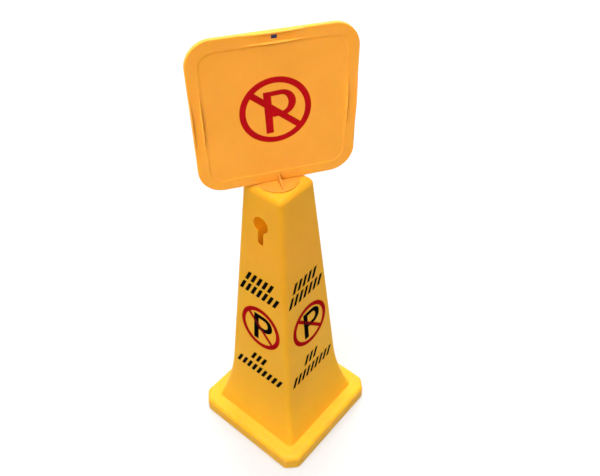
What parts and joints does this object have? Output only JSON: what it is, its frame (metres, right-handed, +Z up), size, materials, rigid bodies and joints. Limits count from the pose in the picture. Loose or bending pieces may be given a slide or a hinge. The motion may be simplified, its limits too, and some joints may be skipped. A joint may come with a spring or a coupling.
{
  "type": "no parking sign",
  "caption": "Tall square floor cone with a flared, flanged foot, carrying an upright sign board with rounded corners that swivels on the cone's top and lifts off.",
  "frame": {"origin": "centre of the flange's underside, on the floor", "axes": "+Z up along the cone's axis; -Y out of the cone face whose keyhole shows in the picture; the board's front faces 57 degrees round from -Y towards +X at rest"},
  "size_m": [0.285, 0.285, 0.9445],
  "materials": {
    "cone_plastic": "satin",
    "board_plastic": "satin",
    "clip_plastic": "satin"
  },
  "bodies": {
    "cone": {"cone_body": "cone_plastic"},
    "plug": {"swivel_plug": "board_plastic"},
    "board": {"board_front_shell": "board_plastic", "board_rear_shell": "board_plastic", "catch_clip": "clip_plastic"}
  },
  "joints": [
    {"name": "sign_swivel", "type": "hinge", "parent": "cone", "child": "plug", "pos_m": [0, 0, 0.6715], "axis": [0, 0, 1], "continuous": true},
    {"name": "board_lift", "type": "slide", "parent": "plug", "child": "board", "axis": [0, 0, 1], "range_m": [0, 0.055]}
  ]
}
